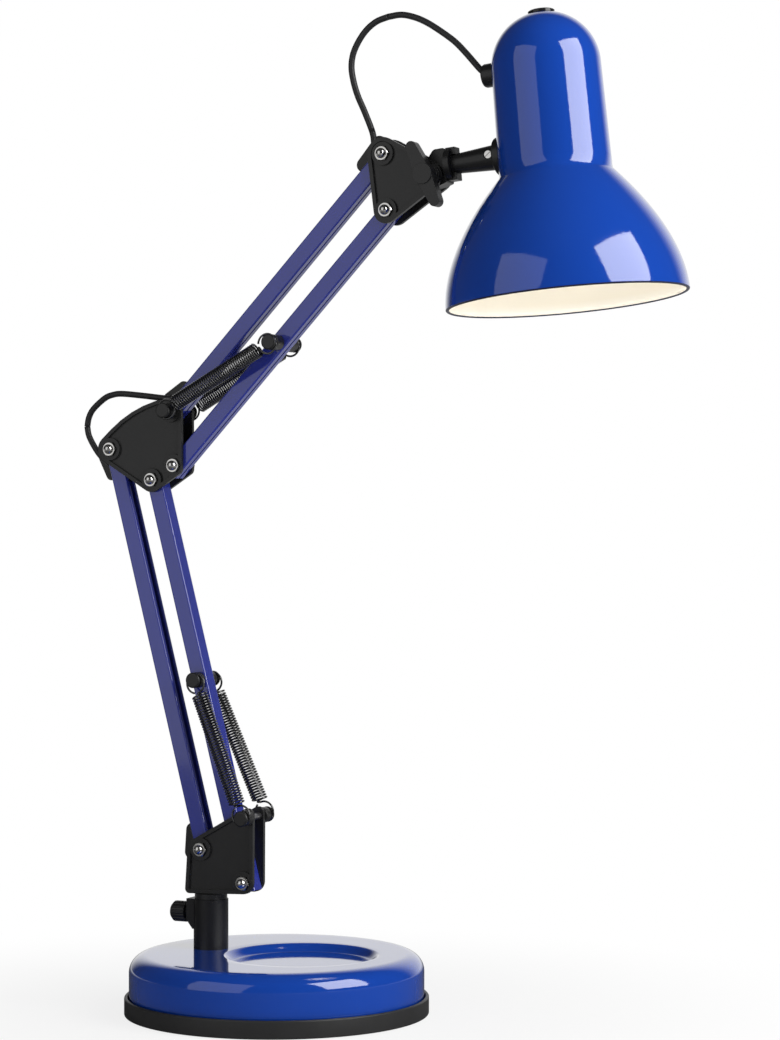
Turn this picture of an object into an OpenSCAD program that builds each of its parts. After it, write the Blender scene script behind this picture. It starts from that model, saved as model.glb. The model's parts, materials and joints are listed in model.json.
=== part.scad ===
// Balanced-arm desk lamp: a weighted round base, two sprung pairs of parallel arms and a bell shade.
// Millimetres. +Z is up, the arms lie in the XZ plane with the head towards +X, and -Y is the front.
// The origin is on the table under the middle of the base.

/* [Base] */
// Diameter of the black foot tray
base_d = 170; // [150:1:200]
// Height of the tray's upstanding wall
tray_h = 10; // [6:0.5:14]
// Thickness of the tray's wall and floor
tray_t = 2; // [1.5:0.1:3]
// Gap between the tray's wall and the steel cover
cover_gap = 0.6; // [0.3:0.1:1.5]
// Height of the cover's flat top above the table
cover_top = 33.4; // [30:0.1:45]
// Thickness of the cover's steel sheet
cover_t = 1.2; // [0.8:0.1:2]
// Radius of the cover's rounded shoulder
shoulder_r = 10; // [6:0.5:12]
// Diameter of the dish pressed into the cover, at its rim
dish_d = 84; // [70:1:86]
// Depth of the dish
dish_depth = 4.2; // [4:0.1:7]
// Width of the dish's sloping wall
dish_slope = 4; // [2:0.5:8]
// Distance from the base's middle to the dish's middle
dish_x = 15.5; // [14:0.5:20]
// Diameter of the iron ballast
ballast_d = 140; // [100:1:144]
// Thickness of the ballast
ballast_h = 12; // [6:0.5:16]

/* [Stem] */
// Distance from the base's middle back to the stem's axis
stem_back = 42; // [41:0.5:48]
// Outer diameter of the stem
stem_d = 19.6; // [18:0.1:22]
// Height of the stem above the cover
stem_h = 28; // [24:0.5:40]
// Diameter of the swivel post's spigot inside the stem
spigot_d = 12; // [9:0.5:13]
// Diameter of the threaded tenon through the cover
tenon_d = 12; // [8:0.5:14]
// Length of the tenon below the cover
tenon_l = 9; // [8:0.5:11]
// Width across the flats of the nut under the cover
stem_nut_af = 19; // [17:0.5:24]
// Thickness of the nut under the cover
stem_nut_h = 6; // [4:0.5:7]
// How far the clamp boss stands out of the stem
boss_out = 2.8; // [1.5:0.1:4]
// Width of the clamp boss
boss_w = 12; // [9:0.5:14]
// Height of the clamp boss
boss_h = 17; // [14:0.5:20]

/* [Thumbscrew] */
// Diameter of the thumbscrew's ribbed head
thumb_d = 11.7; // [9:0.1:14]
// Length of the head
thumb_l = 9.3; // [7:0.1:12]
// Length of the neck between head and boss
thumb_neck_l = 2.2; // [1:0.1:3]
// Diameter of the thumbscrew's thread
thumb_screw_d = 5; // [4:0.5:6]
// Distance of the thumbscrew's axis below the stem's top
thumb_drop = 8.3; // [7:0.1:9]
// Number of flutes round the head
thumb_flutes = 18; // [12:1:24]

/* [Linkage] */
// Distance between the pivots of a lower arm
lower_len = 233.5; // [200:0.5:260]
// Backward lean of the lower arms from upright, in degrees
lower_lean = 14.65; // [10:0.05:20]
// Distance between the pivots of an upper arm
upper_len = 192; // [170:0.5:220]
// Rise of the upper arms from level, in degrees
upper_rise = 46.1; // [35:0.1:52]
// Distance of the back foot pivot behind the stem's axis
foot_back = 2.8; // [2:0.1:4]
// Height of the back foot pivot above the stem's top
foot_rise = 28.3; // [28:0.1:34]
// Distance between the two foot pivots
foot_pitch = 32.4; // [31:0.1:36]
// Slope of the line through the foot pivots, in degrees
foot_slope = 33; // [30:0.5:36]
// Forward distance from the elbow's back pivot to its top pivot
elbow_dx = 39.5; // [38:0.5:44]
// Height of the elbow's top pivot above its back pivot
elbow_dz = 21.3; // [20:0.1:24]
// Distance between the two upper pivots on the elbow and on the head
head_pitch = 31; // [30:0.1:34]
// Slope of the line through the upper pivots, in degrees
head_slope = 86; // [84:0.5:89]

/* [Arms] */
// Width and depth of an arm's square section
arm_w = 9.6; // [9:0.1:10.4]
// Thickness of an arm's steel
arm_t = 1; // [0.8:0.1:1.4]
// Radius of an arm's outer corners
arm_r = 1; // [0.6:0.1:1.4]
// Width of the open slot along an arm
arm_slot = 4.4; // [3:0.1:5]
// Length of an arm past its pivots
arm_over = 5.5; // [5:0.1:6]
// Diameter of the pivot bolts
pivot_d = 5; // [4:0.5:5]
// Distance of the cable slot's middle from the pivot
cable_slot_at = 10; // [9.5:0.5:12]
// Length of the cable slot in the back arms
cable_slot_l = 12; // [11:0.5:12]

/* [Joint plates] */
// Thickness of a joint plate
plate_t = 2.4; // [2:0.1:3]
// Side clearance between an arm and a joint plate
plate_gap = 0.3; // [0.2:0.05:0.5]
// Depth of the panel sunk into a plate's outer face
panel_depth = 1.4; // [0.6:0.1:1.6]
// Width of the rim round the sunk panel
panel_rim = 2.2; // [1.4:0.1:2.6]
// Radius of the raised bosses round the nuts
boss_r = 6.4; // [5.5:0.1:7]
// Width across the flats of a cap nut
nut_af = 7.4; // [7:0.1:8]
// Height of a cap nut's hexagon
nut_h = 2.4; // [2:0.1:3]
// Diameter of a cap nut's dome
nut_dome_d = 5.8; // [5.4:0.1:6.2]
// Diameter of the thread that a cap nut takes
thread_d = 4; // [3:0.5:4]
// Depth of the hexagonal pocket that a cap nut stands in
pocket_depth = 0.8; // [0.5:0.1:1]
// Diameter of a pivot bolt's head
bolt_head_d = 9; // [7:0.5:10]
// Height of a pivot bolt's head
bolt_head_h = 2.6; // [2:0.1:3.5]

/* [Springs] */
// Outer diameter of a spring
spring_d = 9.4; // [8:0.1:9.8]
// Diameter of the spring wire
wire_d = 1; // [0.8:0.1:1.1]
// Outer diameter of a spring's end loop
loop_d = 12; // [11:0.1:12.4]
// Curls in a lower spring
lower_curls = 19; // [12:1:20]
// Curls in an upper spring
upper_curls = 18; // [12:1:19]
// Distance of a spring's axis from the middle of the arms
spring_y = 14; // [13.5:0.1:15]
// Distance of a lower spring's loop on the arm's pin from the middle of the arms
lower_pin_y = 10; // [9.6:0.1:14]
// Diameter of the rods that carry the springs on the foot and on the arms
rod_d = 4; // [3:0.1:4.4]
// Forward distance from the fore foot pivot to the foot's spring post
foot_post_dx = 3.2; // [2.5:0.1:3.6]
// Height of the foot's spring post above the fore foot pivot
foot_post_dz = 36.7; // [36:0.1:40]
// Distance of the lower spring pin from the fore foot pivot, along the arm
lower_pin_at = 116.7; // [100:0.1:130]
// Distance of the upper spring pin from the elbow pivot, along the arm
upper_pin_at = 94; // [85:0.1:105]
// Diameter of a bobbin's flanges
bobbin_d = 8.8; // [8.2:0.1:9.4]
// Thickness of a bobbin's outer cap
bobbin_cap = 1.8; // [1.5:0.1:3.5]

/* [Head bracket] */
// Forward distance from the head's top pivot to the tilt axis
tilt_dx = 28.2; // [27:0.1:31]
// Distance of the tilt axis below the head's top pivot
tilt_drop = 13.4; // [12:0.1:15]
// Diameter of the tilt bolt
tilt_bolt_d = 6; // [5:0.5:6]
// Diameter of the wing knob's hub
knob_d = 11.2; // [10:0.1:13]
// Length of the wing knob along its axis
knob_l = 9.5; // [9:0.5:13]
// Reach of each wing from the axis
wing_reach = 19.5; // [15:0.5:21]
// Turn of the wings from upright, in degrees
wing_turn = 25; // [0:1:90]

/* [Head] */
// Forward lean of the shade from upright, in degrees
head_lean = 5.6; // [0:0.1:12]
// Height of the shade tube's axis above the tilt axis
tube_rise = 5; // [4.5:0.1:6]
// Distance from the tilt axis to the knuckle's end face
knuckle_l = 9; // [9:0.1:11]
// Radius of the tube's flange at the knuckle
flange_r = 9; // [8:0.1:9.4]
// Radius of the tube at its flange
tube_r1 = 5.3; // [5:0.1:6]
// Radius of the tube at the collar
tube_r2 = 7; // [6:0.1:8]
// Diameter of the screw's head in the side of the tube
screw_head_d = 4.2; // [3.6:0.1:4.6]
// Radius of the collar against the shade
collar_r = 10.4; // [9:0.1:12]
// Thickness of the collar
collar_t = 2.4; // [2:0.1:3.5]

/* [Shade] */
// Distance from the tilt axis to the shade's axis
shade_reach = 70.6; // [68:0.1:76]
// Radius of the shade's domed end
dome_r = 29.4; // [28:0.1:32]
// Height of the dome's centre above the tube's axis
dome_up = 43.9; // [42:0.1:46]
// Length of the neck from the dome's centre to the waist
neck_l = 57.9; // [56:0.1:62]
// Radius of the neck at the waist
waist_r = 30.4; // [29.5:0.1:33]
// Length of the bell from waist to rim
bell_l = 67.5; // [60:0.1:75]
// Radius of the rim
rim_r = 65.2; // [60:0.1:72]
// Fullness of the bell's curve
bell_power = 1.8; // [1.4:0.05:2.2]
// Thickness of the shade's sheet
shade_t = 0.8; // [0.6:0.1:1.2]
// Radius of the rolled bead at the rim
bead_r = 1; // [0.8:0.1:1.4]

/* [Lampholder and switch] */
// Outer diameter of the lampholder
holder_d = 38; // [34:0.5:40]
// Length of the lampholder
holder_l = 44; // [40:0.5:46]
// Height of the lampholder's lower end above the waist
holder_up = 1; // [0:0.5:2]
// Diameter of the bulb's screw cap
bulb_cap_d = 26; // [24:0.1:27]
// Length of the bulb's screw cap
bulb_cap_l = 25; // [22:0.5:28]
// Diameter of the bulb
bulb_d = 45; // [40:0.5:48]
// Thickness of the holder strap
strap_t = 1.5; // [1:0.1:2]
// Width of the holder strap
strap_w = 12; // [11:0.5:14]
// Diameter of the switch's bezel
bezel_d = 14.4; // [13:0.1:16]
// Diameter of the switch's button
button_d = 9.6; // [8:0.1:10]
// Travel of the switch's button
button_travel = 1.5; // [1:0.1:2]
// Diameter of the switch's threaded neck
switch_neck_d = 11; // [10.6:0.1:12]
// Diameter of the switch's body
switch_body_d = 15; // [13:0.5:18]
// Length of the switch's body below the dome
switch_body_l = 22; // [15:0.5:24]
// Diameter of the cord gland
gland_d = 12.8; // [11:0.1:14]
// Length of the gland outside the neck
gland_l = 6.6; // [6:0.1:9]
// Height of the gland above the dome's centre
gland_up = 0.6; // [-2:0.1:1]

/* [Cord] */
// Diameter of the flex
cord_d = 3.5; // [3:0.1:3.6]

/* [Hidden] */
$fn = 64;
run = 0.06;        // running clearance on the radius of a pin or shaft
seat = 0.05;       // clearance on the radius of a fixed stud in its nut
slip = 0.15;       // gap between flat faces that turn on each other
eps = 0.01;
blue = [0.10, 0.20, 0.62];
black = [0.14, 0.14, 0.15];
nickel = [0.80, 0.80, 0.82];
steel = [0.60, 0.60, 0.62];

// Pivots as [x, z] in the plane of the arms
function polar(l, a) = l * [cos(a), sin(a)];
lower_a = 90 + lower_lean;
stem_x = -stem_back;
stem_top = cover_top + stem_h;
pA = [stem_x - foot_back, stem_top + foot_rise];
pB = pA + polar(foot_pitch, -foot_slope);
pC = pA + polar(lower_len, lower_a);
pD = pB + polar(lower_len, lower_a);
pP = pC + [elbow_dx, elbow_dz];
pE = pP + polar(head_pitch, -head_slope);
pG = pP + polar(upper_len, upper_rise);
pH = pE + polar(upper_len, upper_rise);
pT = pG + [tilt_dx, -tilt_drop];
pL = pB + [foot_post_dx, foot_post_dz];
lower_pin_p = pB + polar(lower_pin_at, lower_a);
upper_pin_p = pE + polar(upper_pin_at, upper_rise);

// Layers through the joints, measured from the middle of the arms
plate_in = arm_w / 2 + plate_gap;
plate_out = plate_in + plate_t;

// Flex routes as [x, z] points in the plane of the arms
elbow_route = [
    [-97, 294.5], [-99, 299.5], [-102, 303], [-105.5, 305.5], [-110, 308.5], [-115, 312.5],
    [-119.5, 318.5], [-122.5, 324], [-123.5, 329], [-122.5, 334], [-119.5, 339], [-112, 345],
    [-106.5, 347], [-100, 347.5], [-85, 346], [-72.5, 344.5], [-66.5, 344.5], [-61, 345.5],
    [-56, 347], [-52, 349], [-48.5, 351.5]
];
head_route = [
    [54.5, 458.5], [57.5, 462.5], [59, 467.5], [60, 472.5], [60.5, 478.5], [60, 485.5],
    [57.5, 493], [54, 501], [50.5, 508.5], [48, 516], [46.5, 524.5], [47.5, 532], [51, 539],
    [56, 545], [62, 549], [69, 551], [77, 551.5], [85, 549.5], [92.5, 546], [101, 540.5],
    [109, 534.5], [115, 528.5], [119.5, 523.5], [124, 518.5], [127.5, 515.5]
];

// Head's own frame: its origin on the tilt axis, +X along the shade tube, +Z along the shade's axis
dome_z = tube_rise + dome_up;
waist_z = dome_z - neck_l;
rim_z = waist_z - bell_l;
dome_top = dome_z + dome_r;
gland_z = dome_z + gland_up;
holder_z = waist_z + holder_up;
function neck_at(z) = dome_r + (waist_r - dome_r) * (dome_z - z) / neck_l;
neck_x = shade_reach - neck_at(tube_rise);
tube_x0 = knuckle_l + slip;
flange_t = 3.2;
spigot_r = 4;
spigot_l = 4.6;
stud_r = 5;
stud_l = 6;

// Shared forms

// Puts children drawn in the plane of the arms upright: their +Z comes to the front
module upright(at = [0, 0]) translate([at[0], 0, at[1]]) rotate([90, 0, 0]) children();

// Places children in the head's frame
module in_head() translate([pT[0], 0, pT[1]]) rotate([0, -head_lean, 0]) children();

// Both sides of the lamp, for children drawn on the front side
module both_sides() {
    children();
    mirror([0, 1, 0]) children();
}

// Disc with a rounded shoulder, standing from z0 to z1
module shouldered(r, z0, z1, shoulder) {
    translate([0, 0, z0]) cylinder(r = r, h = z1 - shoulder - z0);
    translate([0, 0, z0]) cylinder(r = r - shoulder, h = z1 - z0);
    translate([0, 0, z1 - shoulder]) rotate_extrude() intersection() {
        translate([r - shoulder, 0]) circle(shoulder);
        square([r, shoulder]);
    }
}

// Outer tangent of two corner circles [x, z, r], on the outer side of an anticlockwise outline
function tangent(a, b) =
    let (d = [b[0] - a[0], b[1] - a[1]], l = norm(d), u = d / l, k = (a[2] - b[2]) / l,
         n = k * u + sqrt(1 - k * k) * [u[1], -u[0]])
    [[a[0], a[1]] + a[2] * n, [b[0], b[1]] + b[2] * n];

// Outline round corner circles given anticlockwise, drawn in by inset
module rounded(corners, inset = 0) {
    c = [for (p = corners) [p[0], p[1], p[2] - inset]];
    n = len(c);
    polygon([for (i = [0 : n - 1]) each tangent(c[i], c[(i + 1) % n])]);
    for (p = c) translate([p[0], p[1]]) circle(p[2]);
}

function corner(p, r, off = [0, 0]) = [p[0] + off[0], p[1] + off[1], r];

// Hexagon of the given width across its flats
module hexagon(af, h) cylinder(r = af / 2 / cos(30), h = h, $fn = 6);

// Joint plate: a rim round a sunk panel, with a raised boss round each bolt
module joint_plate(corners, bolts, ears = []) {
    difference() {
        linear_extrude(plate_t) {
            rounded(corners);
            for (e = ears) rounded(e);
        }
        translate([0, 0, plate_t - panel_depth]) linear_extrude(panel_depth + 1) difference() {
            rounded(corners, panel_rim);
            for (b = bolts) translate(b) circle(boss_r);
        }
        for (b = bolts) translate([b[0], b[1], -1]) cylinder(d = pivot_d + 2 * run, h = plate_t + 2);
        children();
    }
}

// Pockets in a front plate that keep the cap nuts from turning
module nut_pockets(bolts) for (b = bolts)
    translate([b[0], b[1], plate_t - pocket_depth]) hexagon(nut_af + 0.4, 2);

module front_plate() upright() translate([0, 0, plate_in]) children();
module rear_plate() mirror([0, 1, 0]) front_plate() children();

// Layer of the cap nuts' seats, and how far their threads reach past them
nut_seat = plate_out - pocket_depth;
thread_l = nut_h + 1.2;

// Shouldered bolt with its head at the back and its thread in the cap nut
module pivot_bolt(p) upright(p) {
    translate([0, 0, -plate_out - bolt_head_h]) cylinder(d1 = bolt_head_d - 2, d2 = bolt_head_d, h = 1);
    translate([0, 0, -plate_out - bolt_head_h + 1]) cylinder(d = bolt_head_d, h = bolt_head_h - 1);
    translate([0, 0, -plate_out - eps]) cylinder(d = pivot_d, h = plate_out + nut_seat - slip);
    translate([0, 0, nut_seat - slip - 1]) cylinder(d = thread_d, h = thread_l + slip + 1);
}

// Cap nut: a chamfered hexagon under a dome, bored blind
module pivot_nut(p) upright(p) translate([0, 0, nut_seat]) difference() {
    union() {
        intersection() {
            hexagon(nut_af, nut_h);
            cylinder(r1 = nut_af / 2 + nut_h, r2 = nut_af / 2, h = nut_h);
        }
        translate([0, 0, nut_h]) sphere(d = nut_dome_d);
    }
    translate([0, 0, -5]) cylinder(d = nut_af, h = 5);
    translate([0, 0, -1]) cylinder(d = thread_d + 2 * seat, h = thread_l + 1.2);
}

// Lipped channel, drawn along +X from its first pivot, with its slot on the side given by slot_side
module channel(l, slot_side) rotate([0, 90, 0]) translate([0, 0, -arm_over])
    linear_extrude(l + 2 * arm_over) difference() {
        union() {
            square([arm_w - 2 * arm_r, arm_w], center = true);
            square([arm_w, arm_w - 2 * arm_r], center = true);
            for (x = [-1, 1], y = [-1, 1])
                translate([x, y] * (arm_w / 2 - arm_r)) circle(arm_r);
        }
        square(arm_w - 2 * arm_t, center = true);
        translate([-arm_slot / 2, slot_side > 0 ? 0 : -arm_w]) square([arm_slot, arm_w]);
    }

// Slot milled through an arm's closed side for the flex
module cable_slot(at) translate([at, 0, 0]) rotate([-90, 0, 0]) {
    for (s = [-1, 1]) translate([s * (cable_slot_l - arm_slot) / 2, 0, 0]) cylinder(d = arm_slot, h = arm_w);
    translate([-(cable_slot_l - arm_slot) / 2, -arm_slot / 2, 0])
        cube([cable_slot_l - arm_slot, arm_slot, arm_w]);
}

// Arm between two pivots: back arms carry the flex, fore arms carry a spring pin
module arm(p, a, l, pin_at = 0, slot_side = -1) upright(p) rotate([0, 0, a]) difference() {
    channel(l, slot_side);
    for (x = [0, l]) translate([x, 0, -arm_w]) cylinder(d = pivot_d + 2 * run, h = 2 * arm_w);
    if (pin_at > 0)
        translate([pin_at, 0, -arm_w]) cylinder(d = rod_d + 2 * seat, h = 2 * arm_w);
    else
        for (x = [cable_slot_at, l - cable_slot_at]) cable_slot(x);
}

groove_l = wire_d + 1;
function groove_r(d) = d / 2 + 0.7;
function rod_half(y) = y + groove_l / 2 + bobbin_cap - 0.8;

// Rod across the lamp that carries a spring on each side, at the layer y
module spring_rod(p, d, y = spring_y) upright(p)
    translate([0, 0, -rod_half(y)]) cylinder(d = d, h = 2 * rod_half(y));

// Bobbin on each end of a rod, from the given layer outwards: a sleeve, a groove for the loop and a cap
module bobbins(p, d, from, y = spring_y) both_sides() upright(p) difference() {
    groove_0 = y - groove_l / 2;
    groove_1 = y + groove_l / 2;
    union() {
        translate([0, 0, from]) cylinder(d = bobbin_d, h = groove_0 - from);
        translate([0, 0, groove_0 - eps]) cylinder(r = groove_r(d), h = groove_l + 2 * eps);
        shouldered(bobbin_d / 2, groove_1, groove_1 + bobbin_cap, 1);
    }
    translate([0, 0, from - 1]) cylinder(d = d + 2 * seat, h = rod_half(y) - from + 1);
}

// Tension spring

coil_r = (spring_d - wire_d) / 2;
loop_r = (loop_d - wire_d) / 2;
loop_seat = 0.3;
curl_steps = 8;
lead = 1.6; // rise of the wire from the loop to the first curl

// Middle of an end loop from the rod's axis, so that the loop's far side seats on the groove
function loop_mid(d) = loop_r - wire_d / 2 - groove_r(d) - loop_seat;

// Wire from an end loop round a rod at the origin to the first curl, which starts at angle 180
function spring_end(d) = concat(
    [for (a = [70 : 29 : 360]) [loop_mid(d) + loop_r * cos(a), loop_r * sin(a), 0]],
    [for (i = [1 : 3]) let (t = i / 4, a = 180 * t)
        [loop_mid(d) + loop_r + lead * t, coil_r * sin(90 * t) * cos(a), coil_r * sin(90 * t) * sin(a)]]
);

function reversed(v) = [for (i = [len(v) - 1 : -1 : 0]) v[i]];

// Whole wire along +X, from a rod of diameter d0 at 0 to one of diameter d1 at l
function spring_path(l, curls, d0, d1) =
    let (x0 = loop_mid(d0) + loop_r + lead, x1 = l - loop_mid(d1) - loop_r - lead,
         n = (curls + 0.5) * curl_steps)
    concat(
        spring_end(d0),
        [for (i = [0 : n]) let (a = 180 + 360 * i / curl_steps)
            [x0 + (x1 - x0) * i / n, coil_r * cos(a), coil_r * sin(a)]],
        reversed([for (p = spring_end(d1)) [l - p[0], -p[1], p[2]]])
    );

// Least distance between parts of the wire more than half a curl apart, less the wire
function self_gap(path) = min([for (i = [0 : len(path) - 1], j = [i + 5 : 1 : len(path) - 1])
    norm(path[i] - path[j])]) - wire_d;

// Tube of the given radius along a path: rings carried along without twist, triangles between them
module tube(path, r, sides, first) {
    n = len(path);
    function unit(v) = v / norm(v);
    along = [for (i = [0 : n - 1]) unit(path[min(i + 1, n - 1)] - path[max(i - 1, 0)])];
    function carry(v, t) = unit(v - (v * t) * t);
    side = [for (i = 0, v = carry(first, along[0]); i < n;
                 i = i + 1, v = i < n ? carry(v, along[i]) : v) v];
    rings = [for (i = [0 : n - 1], k = [0 : sides - 1])
        path[i] + r * (cos(360 * k / sides) * side[i] + sin(360 * k / sides) * cross(along[i], side[i]))];
    skin = [for (i = [0 : n - 2], k = [0 : sides - 1])
        let (a = i * sides + k, b = i * sides + (k + 1) % sides)
        each [[a, a + sides, b], [b, a + sides, b + sides]]];
    caps = [for (k = [1 : sides - 2])
        each [[0, k, k + 1], [(n - 1) * sides, (n - 1) * sides + k + 1, (n - 1) * sides + k]]];
    polyhedron(rings, concat(skin, caps), convexity = 10);
}

// Spring from rod p at the layer y0 to rod q at the layer y1
module spring(p, q, y0, y1, curls, d0, d1) {
    l = norm(q - p);
    path = [for (v = spring_path(l, curls, d0, d1)) v - [0, 0, (y1 - y0) * v[0] / l]];
    echo(least_gap_of_the_wire_to_itself = self_gap(path));
    translate([0, y0, 0]) upright(p) rotate([0, 0, atan2(q[1] - p[1], q[0] - p[0])])
        tube(path, wire_d / 2, 6, [0, 0, 1]);
}

// Flex along a route in the plane of the arms
module flex(route) tube([for (p = route) [p[0], 0, p[1]]], cord_d / 2, 8, [0, 1, 0]);

// Straight run of flex inside a back arm, between the two cable slots
flex_off = -1.5;
flex_from = 22;
module arm_flex(p, a, l) upright(p) rotate([0, 0, a])
    translate([flex_from, flex_off, 0]) rotate([0, 90, 0]) cylinder(d = cord_d, h = l - 2 * flex_from - 1);

// Base

module base_tray() color(black) difference() {
    union() {
        cylinder(d = base_d, h = tray_h - 0.8);
        translate([0, 0, tray_h - 0.8 - eps]) cylinder(d1 = base_d, d2 = base_d - 1, h = 0.8 + eps);
    }
    translate([0, 0, tray_t]) cylinder(d = base_d - 2 * tray_t, h = tray_h);
}

module base_ballast() color(steel) translate([0, 0, tray_t]) {
    cylinder(d = ballast_d, h = ballast_h - 2);
    translate([0, 0, ballast_h - 2]) cylinder(d1 = ballast_d, d2 = ballast_d - 4, h = 2);
}

module base_cover() color(blue) {
    r = base_d / 2 - tray_t - cover_gap;
    floor_r = dish_d / 2 - dish_slope;
    difference() {
        union() {
            difference() {
                shouldered(r, tray_t, cover_top, shoulder_r);
                shouldered(r - cover_t, tray_t - 1, cover_top - cover_t, shoulder_r - cover_t);
            }
            translate([dish_x, 0, cover_top - dish_depth - cover_t])
                cylinder(r1 = floor_r + cover_t / 2, r2 = dish_d / 2 + cover_t / 2,
                         h = dish_depth + cover_t / 2);
        }
        translate([dish_x, 0, cover_top - dish_depth])
            cylinder(r1 = floor_r, r2 = dish_d / 2, h = dish_depth + eps);
        translate([stem_x, 0, cover_top - 2 * cover_t]) cylinder(d = tenon_d + 0.4, h = 3 * cover_t);
    }
}

module stem() color(black) {
    bore_floor = cover_top + 4;
    difference() {
        union() {
            translate([stem_x, 0, cover_top]) cylinder(d = stem_d, h = stem_h);
            translate([stem_x, 0, cover_top - tenon_l]) cylinder(d = tenon_d, h = tenon_l + 1);
            translate([stem_x, boss_w / 2, stem_top]) rotate([90, 0, 0]) linear_extrude(boss_w) polygon([
                [0, 0], [-stem_d / 2 - boss_out, 0], [-stem_d / 2 - boss_out, -boss_h + 5],
                [-stem_d / 2 + 1, -boss_h], [0, -boss_h]
            ]);
        }
        translate([stem_x, 0, bore_floor]) cylinder(d = spigot_d + 2 * run, h = stem_h);
        translate([stem_x, 0, stem_top - thumb_drop]) rotate([0, -90, 0])
            cylinder(d = thumb_screw_d + 2 * run, h = stem_d);
    }
}

module stem_nut() color(steel) translate([stem_x, 0, cover_top - cover_t - stem_nut_h]) difference() {
    cylinder(r = stem_nut_af / 2 / cos(30), h = stem_nut_h, $fn = 6);
    translate([0, 0, -1]) cylinder(d = tenon_d + 2 * seat, h = stem_nut_h + 2);
}

// Ribbed head, plain neck and a thread whose tip stops just short of the spigot
module thumbscrew() color(black) translate([stem_x, 0, stem_top - thumb_drop]) rotate([0, -90, 0]) {
    boss_x = stem_d / 2 + boss_out;
    head_x = boss_x + slip + thumb_neck_l;
    tip_x = spigot_d / 2 + 0.3;
    difference() {
        union() {
            translate([0, 0, head_x]) cylinder(d = thumb_d, h = thumb_l - 1.5);
            translate([0, 0, head_x + thumb_l - 1.5]) cylinder(d1 = thumb_d, d2 = thumb_d - 3, h = 1.5);
        }
        for (i = [0 : thumb_flutes - 1]) rotate([0, 0, 360 * i / thumb_flutes])
            translate([thumb_d / 2 + 0.25, 0, head_x - 1]) cylinder(r = 0.65, h = thumb_l + 2, $fn = 16);
    }
    translate([0, 0, boss_x + slip]) cylinder(d = thumb_d - 4.5, h = thumb_neck_l + 1);
    translate([0, 0, tip_x]) cylinder(d = thumb_screw_d, h = boss_x + slip + 1 - tip_x);
}

// Foot bracket

foot_z = stem_top + slip + 3; // underside of the foot plates, on the swivel post's flange

module swivel_post() color(black) translate([stem_x, 0, 0]) {
    block_h = 12.5;
    spigot_end = cover_top + 4.5;
    translate([0, 0, spigot_end]) cylinder(d = spigot_d, h = foot_z - spigot_end);
    translate([0, 0, stem_top + slip]) cylinder(d = stem_d - 1.2, h = foot_z - stem_top - slip);
    translate([-10, -plate_in, foot_z - eps]) cube([20, 2 * plate_in, block_h]);
}

foot_corners = [
    [stem_x - 9.9, foot_z + 2.7, 2.7], corner(pB, 6.2),
    corner(pL, 3.7, [-0.5, 1.4]), corner(pA, 3.6, [-4.7, 1.3])
];

module bracket_holes() {
    translate([pL[0], pL[1], -1]) cylinder(d = rod_d + 2 * run, h = plate_t + 2);
}

module bracket_front() color(black) front_plate() joint_plate(foot_corners, [pA, pB]) {
    bracket_holes();
    nut_pockets([pA, pB]);
}

module bracket_rear() color(black) rear_plate()
    joint_plate(foot_corners, [pA, pB], [[
        corner(pA, 8), corner(pA, 4, polar(12, lower_a) + polar(9.5, lower_a + 90)),
        corner(pA, 4, polar(13.5, lower_a + 90))
    ]]) bracket_holes();

module bracket_bolts() color(nickel) for (p = [pA, pB]) pivot_bolt(p);
module bracket_nuts() color(nickel) for (p = [pA, pB]) pivot_nut(p);
module foot_post() color(steel) spring_rod(pL, rod_d);
module foot_post_bobbins() color(black) bobbins(pL, rod_d, plate_out + slip);

// Lower arms

module lower_arm_back() color(blue) arm(pA, lower_a, lower_len);
module lower_arm_fore() color(blue) arm(pB, lower_a, lower_len, lower_pin_at, 1);
module lower_pin() color(steel) spring_rod(lower_pin_p, rod_d, lower_pin_y);
module lower_pin_bobbins() color(black) bobbins(lower_pin_p, rod_d, arm_w / 2, lower_pin_y);
module lower_spring_near() color(black)
    spring(pL, lower_pin_p, -spring_y, -lower_pin_y, lower_curls, rod_d, rod_d);
module lower_spring_far() color(black)
    spring(pL, lower_pin_p, spring_y, lower_pin_y, lower_curls, rod_d, rod_d);
module lower_flex() color(black) arm_flex(pA, lower_a, lower_len);

// Elbow

elbow_bulge = 4; // rise of the elbow's curved top edge over a straight one
elbow_up = [-elbow_dz, elbow_dx] / norm([elbow_dx, elbow_dz]);
elbow_corners = [
    corner(pD, 7), corner(pE, 3.4, [1.8, -2]), corner(pP, 7.2),
    for (t = [5 / 6 : -1 / 6 : 0.1])
        corner(pC + t * (pP - pC) + 4 * elbow_bulge * t * (1 - t) * elbow_up, 7.6),
    corner(pC, 8)
];

module elbow_front() color(black) front_plate() joint_plate(elbow_corners, [pC, pD, pE, pP])
    nut_pockets([pC, pD, pE]);

module elbow_rear() color(black) rear_plate() joint_plate(elbow_corners, [pC, pD, pE, pP], [
    [
        corner(pC, 8), corner(pC, 4, polar(12, lower_a + 90)),
        corner(pC, 3.5, polar(-12, lower_a) + polar(10, lower_a + 90))
    ],
    [
        corner(pP, 7.2), corner(pP, 3.5, polar(11, upper_rise) + polar(8.5, upper_rise + 90)),
        corner(pP, 3.5, polar(11, upper_rise + 90))
    ]
]);

module elbow_bolts() color(nickel) for (p = [pC, pD, pE]) pivot_bolt(p);
module elbow_nuts() color(nickel) for (p = [pC, pD, pE]) pivot_nut(p);
module elbow_post() color(steel) spring_rod(pP, pivot_d);
module elbow_post_bobbins() color(black) bobbins(pP, pivot_d, plate_out + slip);
module elbow_flex() color(black) flex(elbow_route);

// Upper arms

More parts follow.
